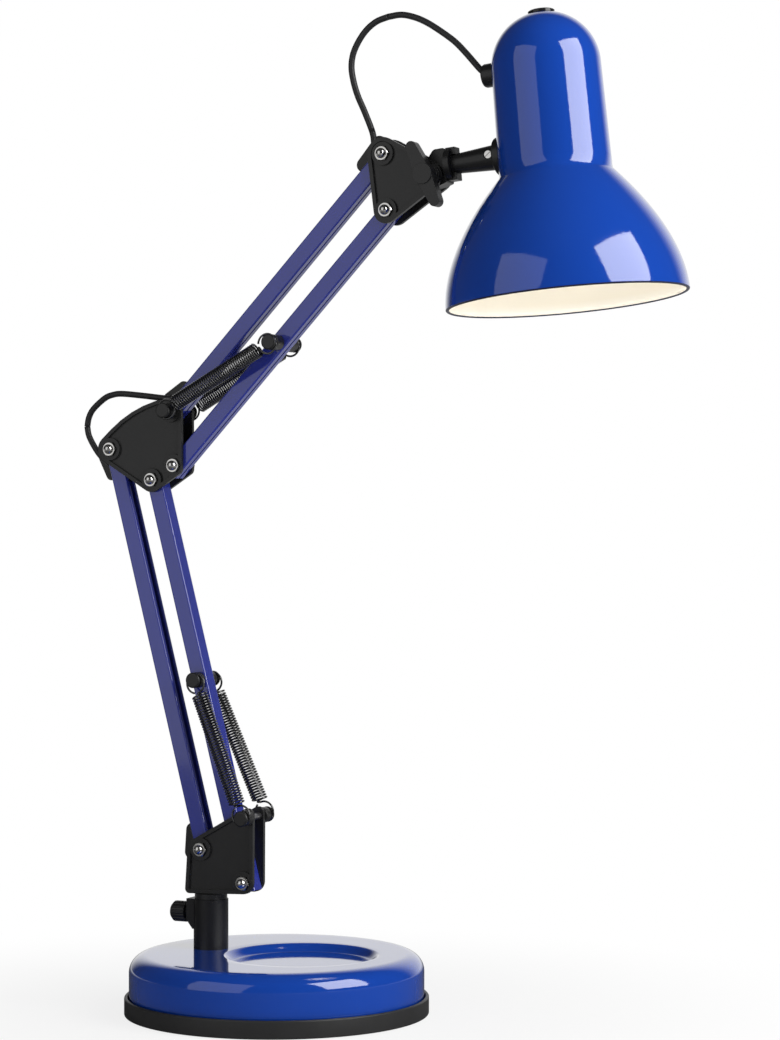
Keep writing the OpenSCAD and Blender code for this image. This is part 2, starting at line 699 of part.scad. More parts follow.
module upper_arm_back() color(blue) arm(pP, upper_rise, upper_len);
module upper_arm_fore() color(blue) arm(pE, upper_rise, upper_len, upper_pin_at);
module upper_pin() color(steel) spring_rod(upper_pin_p, rod_d);
module upper_pin_bobbins() color(black) bobbins(upper_pin_p, rod_d, arm_w / 2);
module upper_spring_near() color(black)
    spring(pP, upper_pin_p, -spring_y, -spring_y, upper_curls, pivot_d, rod_d);
module upper_spring_far() color(black)
    spring(pP, upper_pin_p, spring_y, spring_y, upper_curls, pivot_d, rod_d);
module upper_flex() color(black) arm_flex(pP, upper_rise, upper_len);

// Head bracket

head_corners = [corner(pH, 7.3), corner(pT, 7.4), corner(pG, 9)];

module head_holes() {
    translate([pT[0], pT[1], -1]) cylinder(d = tilt_bolt_d + 2 * seat, h = plate_t + 2);
}

module head_front() color(black) front_plate() joint_plate(head_corners, [pG, pH]) {
    head_holes();
    nut_pockets([pG, pH]);
}

module head_rear() color(black) rear_plate() joint_plate(head_corners, [pG, pH], [[
    corner(pG, 8), corner(pG, 4, polar(11, upper_rise + 90)),
    corner(pG, 4, polar(-15, upper_rise) + polar(10, upper_rise + 90))
]]) head_holes();

module head_bolts() color(nickel) for (p = [pG, pH]) pivot_bolt(p);
module head_nuts() color(nickel) for (p = [pG, pH]) pivot_nut(p);

tilt_bolt_end = plate_out + knob_l - 3;
module tilt_bolt() color(nickel) upright(pT) {
    translate([0, 0, -plate_out - 4]) cylinder(r = 5 / cos(30), h = 4, $fn = 6);
    translate([0, 0, -plate_out - eps]) cylinder(d = tilt_bolt_d, h = plate_out + tilt_bolt_end + eps);
}

// Hub with two tapering wings, threaded blind from behind
module wing_knob() color(black) upright(pT) translate([0, 0, plate_out + slip]) difference() {
    union() {
        cylinder(d = knob_d + 2, h = 2);
        cylinder(d = knob_d, h = knob_l);
        translate([0, 0, 2.6]) linear_extrude(knob_l - 3.4) for (a = [90, 270]) rotate(a + wing_turn)
            rounded([[0, 0, knob_d / 2 - 0.6], [wing_reach - 3, 0, 3]]);
    }
    translate([0, 0, -1]) cylinder(d = tilt_bolt_d + 2 * run, h = knob_l - 1.5);
}

// Head

// Tongue between the head plates, with the bore that the shade tube turns in
module knuckle() color(black) in_head() {
    half = plate_in - slip;
    top = tube_rise + flange_r;
    difference() {
        rotate([90, 0, 0]) translate([0, 0, -half]) linear_extrude(2 * half)
            rounded([[0, 0, 7], [knuckle_l - 1, -4, 1], [knuckle_l - 1, top - 1, 1], [4, top - 3, 3]]);
        rotate([90, 0, 0]) translate([0, 0, -arm_w]) cylinder(d = tilt_bolt_d + 2 * run, h = 2 * arm_w);
        translate([knuckle_l - spigot_l, 0, tube_rise]) rotate([0, 90, 0])
            cylinder(r = spigot_r + run, h = spigot_l + 1);
    }
}

collar_x = neck_x - collar_t;

// Places children on the front of the tube beside the collar, +Z outwards from the screw's seat
module at_screw() in_head() translate([collar_x - screw_head_d / 2 - 1, -tube_r2 + 2, tube_rise + 1.2])
    rotate([90, 0, 0]) children();

// Turning spigot, flange with two stop lugs, tapered tube and the threaded stud inside the neck
module shade_tube() color(black) difference() {
    in_head() translate([0, 0, tube_rise]) rotate([0, 90, 0]) {
        taper_x = tube_x0 + flange_t;
        translate([0, 0, tube_x0 - spigot_l + 0.5]) cylinder(r = spigot_r, h = spigot_l);
        translate([0, 0, tube_x0]) cylinder(r = flange_r, h = flange_t);
        for (s = [-1, 1]) translate([s * (flange_r - 2) - 2, -3.5, tube_x0]) cube([4, 7, flange_t + 2.2]);
        translate([0, 0, taper_x - eps])
            cylinder(r1 = tube_r1, r2 = tube_r2, h = collar_x - taper_x + eps);
        translate([0, 0, collar_x]) cylinder(r = stud_r, h = collar_t + stud_l);
    }
    at_screw() cylinder(d = screw_head_d + 0.8, h = tube_r2);
    at_screw() translate([0, 0, -3]) cylinder(r = 1 + seat, h = 4);
}

// Slotted screw sunk in the side of the tube
module tube_screw() color(nickel) at_screw() difference() {
    union() {
        cylinder(d = screw_head_d, h = 1.3);
        translate([0, 0, -2.6]) cylinder(r = 1, h = 3);
    }
    rotate(35) translate([-screw_head_d, -0.4, 0.7]) cube([2 * screw_head_d, 0.8, 1]);
}

// Round collar hollowed to sit on the neck, its outer edge rounded
module shade_collar() color(black) in_head() difference() {
    translate([neck_x, 0, tube_rise]) rotate([0, -90, 0]) shouldered(collar_r, -3, collar_t, 1);
    shade_outer(seat);
    translate([collar_x - 1, 0, tube_rise]) rotate([0, 90, 0])
        cylinder(r = stud_r + seat, h = collar_t + 6);
}

strap_x = neck_x + shade_t + 1.6; // outer face of the strap's upright, clear of the neck's curve

module tube_nut() color(steel) in_head() translate([strap_x + strap_t, 0, tube_rise]) rotate([0, 90, 0])
    difference() {
        cylinder(r = 7.5 / cos(30), h = 2.4, $fn = 6);
        translate([0, 0, -1]) cylinder(r = stud_r + seat, h = 5);
    }

// Bell's radius at a share t of its length from the waist
function bell_r(t) = rim_r - (rim_r - waist_r) * pow(1 - t, bell_power);
bell_steps = 14;

// Shade's outer body in the head's frame, grown by g
module shade_outer(g) translate([shade_reach, 0, 0]) {
    translate([0, 0, dome_z]) sphere(r = dome_r + g);
    translate([0, 0, waist_z]) cylinder(r1 = waist_r + g, r2 = dome_r + g, h = neck_l);
    rotate_extrude() polygon(concat(
        [[0, rim_z - (g < 0 ? 1 : 0)], [rim_r + g, rim_z - (g < 0 ? 1 : 0)]],
        [for (i = [bell_steps : -1 : 0]) [bell_r(i / bell_steps) + g, waist_z - bell_l * i / bell_steps]],
        [[0, waist_z]]
    ));
}

module shade() color(blue) in_head() difference() {
    union() {
        difference() {
            shade_outer(0);
            shade_outer(-shade_t);
        }
        translate([shade_reach, 0, rim_z]) rotate_extrude() translate([rim_r - bead_r, 0]) circle(bead_r);
    }
    translate([neck_x - collar_t, 0, tube_rise]) rotate([0, 90, 0]) cylinder(r = stud_r + seat, h = dome_r);
    translate([shade_reach - dome_r - 5, 0, gland_z]) rotate([0, 90, 0])
        cylinder(d = gland_d - 4 + 2 * seat, h = dome_r);
    translate([shade_reach, 0, dome_top - 6]) cylinder(d = switch_neck_d + 2 * seat, h = 10);
}

holder_top = holder_z + holder_l;

// Angle strap from the tube's stud to the top of the lampholder
module holder_strap() color(steel) in_head() difference() {
    union() {
        translate([strap_x, -strap_w / 2, tube_rise - 8])
            cube([strap_t, strap_w, holder_top + strap_t - tube_rise + 8]);
        translate([strap_x, -strap_w / 2, holder_top]) cube([shade_reach + 9 - strap_x, strap_w, strap_t]);
    }
    translate([strap_x - 1, 0, tube_rise]) rotate([0, 90, 0]) cylinder(r = stud_r + seat, h = 5);
}

// Bakelite holder: ribbed skirt, open socket below
module lampholder() color([0.9, 0.88, 0.82]) in_head() translate([shade_reach, 0, holder_z]) difference() {
    union() {
        cylinder(d = holder_d, h = holder_l * 0.6);
        translate([0, 0, holder_l * 0.6 - eps])
            cylinder(d1 = holder_d, d2 = holder_d - 10, h = holder_l * 0.15);
        cylinder(d = holder_d - 10, h = holder_l);
    }
    translate([0, 0, -1]) cylinder(d = bulb_cap_d + 1, h = holder_l - 8);
}

// Bulb: cap in the holder, round glass below it
module bulb() color([0.97, 0.96, 0.92]) in_head() translate([shade_reach, 0, holder_z]) {
    globe = -bulb_d / 2 - 2;
    cylinder(d = bulb_cap_d, h = bulb_cap_l);
    translate([0, 0, globe]) sphere(d = bulb_d);
    translate([0, 0, globe + 8]) cylinder(d1 = bulb_d - 4, d2 = bulb_cap_d, h = -globe - 8 + eps);
    translate([0, 0, bulb_cap_l - 1]) cylinder(d1 = bulb_cap_d - 4, d2 = bulb_cap_d / 3, h = 4);
}

// Switch at the top of the dome
bezel_h = 1;
module switch_body() color(black) in_head() translate([shade_reach, 0, dome_top]) difference() {
    union() {
        translate([0, 0, -shade_t - 2.5 - switch_body_l]) cylinder(d = switch_body_d, h = switch_body_l);
        translate([0, 0, -shade_t - 3]) cylinder(d = switch_neck_d, h = shade_t + 3);
    }
    translate([0, 0, -6]) cylinder(d = button_d + 2 * run, h = 8);
}

module switch_bezel() color(black) in_head() difference() {
    translate([shade_reach, 0, dome_top - 2]) {
        cylinder(d = bezel_d, h = 2 + bezel_h - 0.5);
        translate([0, 0, 2 + bezel_h - 0.5 - eps]) cylinder(d1 = bezel_d, d2 = bezel_d - 1.4, h = 0.5);
    }
    shade_outer(seat);
    translate([shade_reach, 0, dome_top - 3]) cylinder(d = switch_neck_d + 2 * seat, h = 3);
    translate([shade_reach, 0, dome_top - 3]) cylinder(d = button_d + 2 * run, h = 8);
}

module switch_button() color(black) in_head() translate([shade_reach, 0, dome_top]) {
    crown = 9;
    top = bezel_h + button_travel - 0.3;
    translate([0, 0, -3]) intersection() {
        cylinder(d = button_d, h = top + 3);
        translate([0, 0, top + 3 - crown]) sphere(r = crown);
    }
}

// Cord gland: flange outside the neck with a flared mouth, and a plug through the wall
module cord_gland() color(black) in_head() {
    face = shade_reach - dome_r - gland_l;
    difference() {
        union() {
            translate([face, 0, gland_z]) rotate([0, 90, 0]) cylinder(d1 = gland_d - 1, d2 = gland_d, h = 1);
            translate([face + 1 - eps, 0, gland_z]) rotate([0, 90, 0]) cylinder(d = gland_d, h = gland_l + 2);
        }
        shade_outer(seat);
        gland_mouth(face);
    }
    difference() {
        translate([face + gland_l - 2, 0, gland_z]) rotate([0, 90, 0]) cylinder(d = gland_d - 4, h = 7);
        gland_mouth(face);
    }
}

module gland_mouth(face) translate([face - eps, 0, gland_z]) rotate([0, 90, 0]) {
    cylinder(r1 = gland_d / 2 - 1.2, r2 = cord_d / 2 + 0.4, h = 6);
    cylinder(r = cord_d / 2 + 0.4, h = 30);
}

module head_flex() color(black) flex(head_route);

base_tray();
base_ballast();
base_cover();
stem();
stem_nut();
thumbscrew();
swivel_post();
bracket_front();
bracket_rear();
bracket_bolts();
bracket_nuts();
foot_post();
foot_post_bobbins();
lower_arm_back();
lower_arm_fore();
lower_pin();
lower_pin_bobbins();
lower_spring_near();
lower_spring_far();
lower_flex();
elbow_front();
elbow_rear();
elbow_bolts();
elbow_nuts();
elbow_post();
elbow_post_bobbins();
elbow_flex();
upper_arm_back();
upper_arm_fore();
upper_pin();
upper_pin_bobbins();
upper_spring_near();
upper_spring_far();
upper_flex();
head_front();
head_rear();
head_bolts();
head_nuts();
tilt_bolt();
wing_knob();
knuckle();
shade_tube();
tube_screw();
shade_collar();
tube_nut();
shade();
holder_strap();
lampholder();
bulb();
switch_body();
switch_bezel();
switch_button();
cord_gland();
head_flex();
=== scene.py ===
import json

import bpy
import numpy as np
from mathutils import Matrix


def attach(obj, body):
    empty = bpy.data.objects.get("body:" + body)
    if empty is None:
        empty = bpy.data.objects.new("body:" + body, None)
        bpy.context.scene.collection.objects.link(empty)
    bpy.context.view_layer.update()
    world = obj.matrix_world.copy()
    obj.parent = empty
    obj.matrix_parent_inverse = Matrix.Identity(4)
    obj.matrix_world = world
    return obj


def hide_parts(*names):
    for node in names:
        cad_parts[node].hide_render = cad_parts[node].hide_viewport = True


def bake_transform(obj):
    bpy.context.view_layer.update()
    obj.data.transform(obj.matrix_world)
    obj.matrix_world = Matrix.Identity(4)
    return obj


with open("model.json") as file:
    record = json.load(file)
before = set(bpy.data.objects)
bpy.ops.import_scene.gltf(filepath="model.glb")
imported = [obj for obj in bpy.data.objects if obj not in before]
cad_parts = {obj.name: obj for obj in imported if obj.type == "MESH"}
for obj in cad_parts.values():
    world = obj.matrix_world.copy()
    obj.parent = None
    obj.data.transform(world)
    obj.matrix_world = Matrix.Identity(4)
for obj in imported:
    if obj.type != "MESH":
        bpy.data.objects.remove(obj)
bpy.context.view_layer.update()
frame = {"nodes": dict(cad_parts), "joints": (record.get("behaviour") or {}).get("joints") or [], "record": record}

# The camera stands level, 1.6 m in front of the lamp and turned 25.5 degrees towards the shade's
# side. Its long lens takes in the whole lamp with no shift.
turn = np.radians(25.5)
rightward = np.array([np.cos(turn), np.sin(turn), 0.0])
forward = np.array([-np.sin(turn), np.cos(turn), 0.0])
upward = np.array([0.0, 0.0, 1.0])
distance, aside, eye_height = 1.6, 0.0632, 0.2751
sensor, focal_pixels, picture_pixels = 36, 2864, 1040
camera = bpy.data.objects.new("camera", bpy.data.cameras.new("camera"))
camera.location = -distance * forward + aside * rightward + eye_height * upward
camera.rotation_euler = (np.pi / 2, 0, turn)
camera.data.sensor_fit = "VERTICAL"
camera.data.sensor_height = sensor
camera.data.lens = sensor * focal_pixels / picture_pixels
bpy.context.collection.objects.link(camera)
bpy.context.scene.camera = camera
bpy.context.scene.view_settings.view_transform = "Standard"


class Wire:
    """A shader value. Sums, differences and products with other wires or numbers add Math nodes."""

    def __init__(self, tree, socket=None):
        self.tree = tree
        self.socket = socket

    def add(self, kind, settings=None, inputs=None, out=0):
        """Adds a node: its settings first, a ramp's stops among them, then its values or links."""
        node = self.tree.nodes.new("ShaderNode" + kind)
        for name, value in (settings or {}).items():
            if name == "stops":
                while len(node.color_ramp.elements) < len(value):
                    node.color_ramp.elements.new(0.5)
                for element, (place, level) in zip(node.color_ramp.elements, value):
                    element.position = place
                    element.color = (level, level, level, 1)
            else:
                setattr(node, name, value)
        for name, value in (inputs or {}).items():
            self.join(node.inputs[name], value)
        return Wire(self.tree, node.outputs[out])

    def join(self, socket, value):
        """Links a wire to a node's input, or sets a plain value on it."""
        if isinstance(value, Wire):
            self.tree.links.new(value.socket, socket)
        else:
            socket.default_value = value

    def math(self, operation, a, b):
        return self.add("Math", {"operation": operation}, {0: a, 1: b})

    def __add__(self, other): return self.math("ADD", self, other)
    def __radd__(self, other): return self.math("ADD", other, self)
    def __sub__(self, other): return self.math("SUBTRACT", self, other)
    def __rsub__(self, other): return self.math("SUBTRACT", other, self)
    def __mul__(self, other): return self.math("MULTIPLY", self, other)
    def __rmul__(self, other): return self.math("MULTIPLY", other, self)

    def ease(self, value, start, stop, low, high):
        """Smooth step of a wire from low, at and before the start, to high, at and past the stop."""
        return self.add("MapRange", {"interpolation_type": "SMOOTHSTEP"}, {
            "Value": value, "From Min": start, "From Max": stop, "To Min": low, "To Max": high})

    def mix(self, first, second):
        """Colour between two colours, with this wire as the share of the second."""
        return self.add("Mix", {"data_type": "RGBA"}, {0: self, 6: first, 7: second}, out=2)


# The stage is a seamless white studio: a pale floor that keeps a faint shadow, and a white surround
# of which shiny faces see only the lit wall at the back. Two tall softboxes, the strong one on the
# shade's side, and a soft light from above do the rest.
def ray_kinds(wire):
    """1 for rays straight from the camera, off a shiny face, or through glass, and 0 for others."""
    path = wire.add("LightPath").socket.node.outputs
    names = ("Is Camera Ray", "Is Glossy Ray", "Is Transmission Ray")
    return [Wire(wire.tree, path[name]) for name in names]


floor_half = 6.0
floor_z = -0.0004
corners = np.array([[-1, -1], [1, -1], [1, 1], [-1, 1]]) * floor_half
floor_mesh = bpy.data.meshes.new("floor")
floor_mesh.from_pydata([(x, y, floor_z) for x, y in corners], [], [(0, 1, 2, 3)])
floor = bpy.data.objects.new("floor", floor_mesh)
bpy.context.collection.objects.link(floor)
floor_paper = bpy.data.materials.new("floor_paper")
floor_paper.use_nodes = True
floor_wire = Wire(floor_paper.node_tree)
floor_paper.node_tree.nodes.remove(floor_paper.node_tree.nodes["Principled BSDF"])
straight, shiny, through = ray_kinds(floor_wire)
spot = floor_wire.add("TexCoord", out="Object")
away = floor_wire.add("VectorMath", {"operation": "LENGTH"}, {0: spot}, out="Value")
behind = floor_wire.add("VectorMath", {"operation": "DOT_PRODUCT"}, {0: spot, 1: tuple(forward)},
                        out="Value")
clear = floor_wire.ease(away, 0.08, 0.36, 0.53, 0.70)
pale = floor_wire.ease(away, 0.30, 1.20, 0.16, 0.55)
paper = floor_wire.add("BsdfDiffuse", {}, {"Color": shiny.mix((0.86, 0.86, 0.86, 1), pale)})
glow = floor_wire.add("Emission", {}, {"Color": (1, 1, 1, 1), "Strength": 1.0})
mirrored = floor_wire.ease(behind, 0.2, 0.7, 0.0, 0.5)
share = (straight + through) * clear + (1.0 - shiny) * 0.3 + shiny * mirrored
lit = floor_wire.add("MixShader", {}, {0: share, 1: paper, 2: glow})
floor_wire.join(floor_paper.node_tree.nodes["Material Output"].inputs["Surface"], lit)
floor.data.materials.append(floor_paper)

world = bpy.data.worlds.new("studio")
world.use_nodes = True
bpy.context.scene.world = world
world_wire = Wire(world.node_tree)
straight, shiny, through = ray_kinds(world_wire)
gaze = world_wire.add("TexCoord", out="Generated")
wall_rise, wall_turn = 0.15, 0.18
wall_way = np.cos(wall_turn) * forward + np.sin(wall_turn) * rightward
wall_way = np.cos(wall_rise) * wall_way + np.sin(wall_rise) * upward
lit_wall = world_wire.add("VectorMath", {"operation": "DOT_PRODUCT"}, {0: gaze, 1: tuple(wall_way)},
                          out="Value")
backdrop = world_wire.ease(lit_wall, 0.70, 0.965, 0.04, 0.86)
surround = straight + through + shiny * backdrop + (1.0 - shiny) * 0.04
world_strength = world_wire.math("MINIMUM", surround, 1.0)
world_wire.join(world.node_tree.nodes["Background"].inputs["Color"], (1, 1, 1, 1))
world_wire.join(world.node_tree.nodes["Background"].inputs["Strength"], world_strength)

lamp_middle = np.array([0.06, 0.0, 0.30])


def softbox(name, angle, rise, distance, width, height, power):
    """Area light facing the lamp, turned by an angle from the camera's side and raised above the
    lamp's middle."""
    light = bpy.data.lights.new(name, "AREA")
    light.shape = "RECTANGLE"
    light.size = width
    light.size_y = height
    light.energy = power
    box = bpy.data.objects.new(name, light)
    away = -np.cos(np.radians(angle)) * forward + np.sin(np.radians(angle)) * rightward
    place = lamp_middle + distance * away + rise * upward
    aim = (lamp_middle - place) / np.linalg.norm(lamp_middle - place)
    box.location = place
    box.rotation_euler = (np.arccos(-aim[2]), 0, np.arctan2(-aim[0], aim[1]))
    bpy.context.collection.objects.link(box)
    return box


softbox("softbox_right", angle=58, rise=0.60, distance=1.25, width=1.0, height=1.2, power=20.5)
softbox("softbox_left", angle=-48, rise=0.40, distance=1.45, width=1.3, height=1.5, power=4)
top = softbox("softbox_top", angle=10, rise=1.35, distance=0.55, width=1.2, height=1.2, power=3.0)
top.visible_glossy = False

joints = {joint["name"]: joint for joint in frame["joints"]}
body_nodes = frame["record"]["behaviour"]["bodies"]
body_of = {node: body for body, nodes in body_nodes.items() for node in nodes}


# The flex is a thin black round cable. It runs up inside the lower back arm, loops over the elbow
# into the upper back arm, and loops again from there to the gland at the back of the shade.
def grid_mesh(name, grid, marks=None):
    """Mesh over a grid of points [rows, columns]: a quad between neighbours, closed round the columns,
    with the first and last rows capped. UV is the share of the columns and of the rows. Marks, one for
    each row, are kept as the inside attribute."""
    rows, columns = grid.shape[:2]
    number = np.arange(rows * columns).reshape(rows, columns)
    across = np.roll(number, -1, axis=1)
    quads = np.stack([number[:-1], across[:-1], across[1:], number[1:]], -1).reshape(-1, 4)
    points = grid.reshape(-1, 3)
    centre = points.mean(0)
    a, b, c, d = (points[quads[:, k]] - centre for k in range(4))
    volume = np.einsum("ij,ij->", a, np.cross(b, c)) + np.einsum("ij,ij->", a, np.cross(c, d))
    faces = quads.tolist() + [number[0][::-1].tolist(), number[-1].tolist()]
    if volume < 0:
        faces = [face[::-1] for face in faces]
    mesh = bpy.data.meshes.new(name)
    mesh.from_pydata(points.tolist(), [], faces)
    row, column = np.divmod(np.arange(rows * columns), columns)
    corner = np.empty(len(mesh.loops), int)
    mesh.loops.foreach_get("vertex_index", corner)
    size = np.array([len(face) for face in faces])
    share = column[corner] / columns
    furthest = np.maximum.reduceat(share, np.cumsum(size) - size).repeat(size)
    share = np.where((share == 0) & (furthest > 0.5), 1.0, share)
    uv = np.stack([share, row[corner] / (rows - 1)], -1)
    mesh.uv_layers.new(name="UVMap").data.foreach_set("uv", uv.astype(np.float32).ravel())
    if marks is not None:
        mesh.attributes.new("inside", "FLOAT", "POINT").data.foreach_set(
            "value", np.repeat(marks, columns).astype(np.float32))
    mesh.polygons.foreach_set("use_smooth", np.arange(len(faces)) < len(quads))
    mesh.update()
    piece = bpy.data.objects.new(name, mesh)
    bpy.context.collection.objects.link(piece)
    return piece


def unit(vectors):
    return vectors / np.linalg.norm(vectors, axis=-1, keepdims=True)


def flowing(points, step):
    """Smooth line through the points: Catmull-Rom cubics, resampled evenly about every step metres."""
    points = np.asarray(points, float)
    ends = np.concatenate([[2 * points[0] - points[1]], points, [2 * points[-1] - points[-2]]])
    before, start, stop, after = ends[:-3], ends[1:-2], ends[2:-1], ends[3:]
    t = np.linspace(0, 1, 24, endpoint=False)[None, :, None]
    line = 0.5 * (2 * start[:, None] + (stop - before)[:, None] * t
                  + (2 * before - 5 * start + 4 * stop - after)[:, None] * t ** 2
                  + (3 * start - before - 3 * stop + after)[:, None] * t ** 3)
    line = np.concatenate([line.reshape(-1, 3), points[-1:]])
    run = np.concatenate([[0], np.cumsum(np.linalg.norm(np.diff(line, axis=0), axis=1))])
    even = np.linspace(0, run[-1], int(np.ceil(run[-1] / step)) + 1)
    return np.stack([np.interp(even, run, line[:, k]) for k in range(3)], -1), run[-1]


def tube(path, radius, sides, side):
    """Round tube: at each point of the path a ring of the radius, spanned by the side axis made square
    to the path and by the cross product of the two."""
    along = unit(np.gradient(path, axis=0))
    side = np.broadcast_to(np.asarray(side, float), path.shape)
    first = unit(side - np.sum(side * along, -1, keepdims=True) * along)
    second = np.cross(along, first)
    a = np.linspace(0, 2 * np.pi, sides, endpoint=False)[None, :, None]
    return path[:, None] + radius * (np.cos(a) * first[:, None] + np.sin(a) * second[:, None])


def start_material(name):
    """New material: its Principled shader and a wire to add nodes with."""
    material = bpy.data.materials.new(name)
    material.use_nodes = True
    return material, material.node_tree.nodes["Principled BSDF"], Wire(material.node_tree)


def set_shader(shader, wire, values):
    """Gives the Principled shader's inputs their values or links."""
    for name, value in values.items():
        wire.join(shader.inputs[name], value)


def sheath_material():
    """Black PVC: nearly black, half matt, with a fine grain and faint drawn streaks along it."""
    material, shader, wire = start_material("flex_sheath")
    where = wire.add("TexCoord", out="Object")
    round_it = wire.add("TexCoord", out="UV")
    grain = wire.add("TexNoise", {}, {"Vector": where, "Scale": 2600.0, "Detail": 2.0})
    stretch = wire.add("Mapping", {}, {"Vector": round_it, "Scale": (26.0, 3.0, 1.0)})
    streak = wire.add("TexNoise", {}, {"Vector": stretch, "Scale": 1.0, "Detail": 3.0})
    bump = wire.add("Bump", {}, {"Strength": 0.12, "Distance": 0.0003, "Height": grain}, out="Normal")
    set_shader(shader, wire, {
        "Base Color": streak.mix((0.012, 0.012, 0.013, 1), (0.026, 0.026, 0.028, 1)),
        "Roughness": 0.36 + streak * 0.16,
        "Normal": bump,
    })
    return material


flex_sheath = sheath_material()
flex_d, flex_step, flex_sides = 0.0035, 0.0016, 20


def in_plane(points):
    """Points in the plane of the arms, from x and z in millimetres."""
    return np.insert(np.array(points, float), 1, 0, axis=-1) / 1000


def flex_piece(name, route, node):
    """Length of flex that flows through the route's points in the plane of the arms."""
    points = in_plane(route)
    path, length = flowing(points, flex_step)
    piece = grid_mesh(name, tube(path, flex_d / 2, flex_sides, (0, 1, 0)))
    piece.data.materials.append(flex_sheath)
    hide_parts(node)
    return piece


elbow_route = [
    (-97, 294.5), (-99, 299.5), (-102, 303), (-105.5, 305.5), (-110, 308.5), (-115, 312.5),
    (-119.5, 318.5), (-122.5, 324), (-123.5, 329), (-122.5, 334), (-119.5, 339), (-112, 345),
    (-106.5, 347), (-100, 347.5), (-85, 346), (-72.5, 344.5), (-66.5, 344.5), (-61, 345.5),
    (-56, 347), (-52, 349), (-48.5, 351.5),
]
head_route = [
    (54.5, 458.5), (57.5, 462.5), (59, 467.5), (60, 472.5), (60.5, 478.5), (60, 485.5),
    (59.1, 489), (57.5, 493), (54, 501), (50.5, 508.5), (48, 516), (46.5, 524.5), (47.5, 532),
    (51, 539), (56, 545), (62, 549), (69, 551), (77, 551.5), (85, 549.5), (92.5, 546), (101, 540.5),
    (109, 534.5), (115, 528.5), (119.5, 523.5), (124, 518.5), (127.5, 515.5),
]
tilt_taken_up = (33, 522)
for name, route, node, bodies, start, end in (
    ("elbow_flex_lower", elbow_route[:9], "elbow_flex", ("lower_arm_back", "elbow"),
     elbow_route[4], elbow_route[8]),
    ("elbow_flex_upper", elbow_route[8:], "elbow_flex", ("elbow", "upper_arm_back"),
     elbow_route[11], elbow_route[16]),
    ("head_flex_lower", head_route[:7], "head_flex", ("upper_arm_back", "head_bracket"),
     head_route[0], head_route[6]),
    ("head_flex_middle", head_route[6:17], "head_flex", ("head_bracket", "knuckle"),
     head_route[6], tilt_taken_up),
    ("head_flex_upper", head_route[16:], "head_flex", ("knuckle", "shade"),
     head_route[17], head_route[24]),
):
    piece = flex_piece(name, route, node)
    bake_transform(piece)

lower_lean, upper_lean = 104.65, 46.1
below_middle, from_pivot, before_end, flex_stops = 1.5, 22, 23, 8
for name, pivot, lean, reach in (
    ("lower_flex", "lower_arm", lower_lean, 233.5),
    ("upper_flex", "upper_arm", upper_lean, 192.0),
):
    up_arm = np.array([np.cos(np.radians(lean)), np.sin(np.radians(lean))])
    to_slot = np.array([up_arm[1], -up_arm[0]])
    foot = 1000 * np.array(joints[pivot]["pos_m"])[[0, 2]] + below_middle * to_slot
    stops = np.linspace(from_pivot, reach - before_end, flex_stops)
    piece = flex_piece(name + "_sheath", foot + stops[:, None] * up_arm, name)
    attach(piece, body_of[name])


# The base's foot is a black moulded tray. Its upstanding rim, a little proud all round, hides the raw
# edge of the steel cover that stands inside it.
def lathe(profile, segments=192):
    """Surface of revolution about Z: each profile point [radius, height] carried round the axis."""
    profile = np.asarray(profile, float)
    a = np.linspace(0, 2 * np.pi, segments, endpoint=False)
    ring = np.stack([np.cos(a), np.sin(a)], -1)
    flat = profile[:, 0][:, None, None] * ring[None]
    height = np.broadcast_to(profile[:, 1][:, None, None], flat.shape[:2] + (1,))
    return np.concatenate([flat, height], -1)


def arc(centre, radius, start, stop, steps=8):
    """Points of an arc in the profile's plane, between two angles in degrees."""
    a = np.radians(np.linspace(start, stop, steps))
    return np.stack([centre[0] + radius * np.cos(a), centre[1] + radius * np.sin(a)], -1)


def plastic_material(name, grain_scale, dark, pale, rough):
    """Moulded black plastic: spark-eroded grain as a fine bump, and slow drifts of tone and gloss."""
    material, shader, wire = start_material(name)
    where = wire.add("TexCoord", out="Object")
    grain = wire.add("TexNoise", {}, {"Vector": where, "Scale": grain_scale, "Detail": 3.0})
    drift = wire.add("TexNoise", {}, {"Vector": where, "Scale": 55.0, "Detail": 4.0, "Roughness": 0.6})
    bump = wire.add("Bump", {}, {"Strength": 0.16, "Distance": 0.0002, "Height": grain}, out="Normal")
    set_shader(shader, wire, {
        "Base Color": drift.mix((dark, dark, dark * 1.02, 1), (pale, pale, pale * 1.02, 1)),
        "Roughness": rough - 0.08 + drift * 0.16,
        "Normal": bump,
    })
    return material


# The tray's plastic is painted lighter than the other black mouldings: painted light.
tray_plastic_painted_lighter = plastic_material("tray_plastic_painted_lighter", 2200.0, 0.020, 0.030, 0.46)
tray_r, tray_h, tray_t = 0.085, 0.010, 0.002
foot_round, rim_out, rim_in = 0.0008, 0.0009, 0.0006
on_axis = 0.00001
tray_profile = np.concatenate([
    [(on_axis, 0)],
    arc((tray_r - foot_round, foot_round), foot_round, -90, 0),
    arc((tray_r - rim_out, tray_h - rim_out), rim_out, 0, 90),
    arc((tray_r - tray_t + rim_in, tray_h - rim_in), rim_in, 90, 180),
    [(tray_r - tray_t, tray_t), (on_axis, tray_t)],
])
tray = grid_mesh("base_tray_shell", lathe(tray_profile, 256))
tray.data.materials.append(tray_plastic_painted_lighter)
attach(tray, "base")
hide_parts("base_tray")


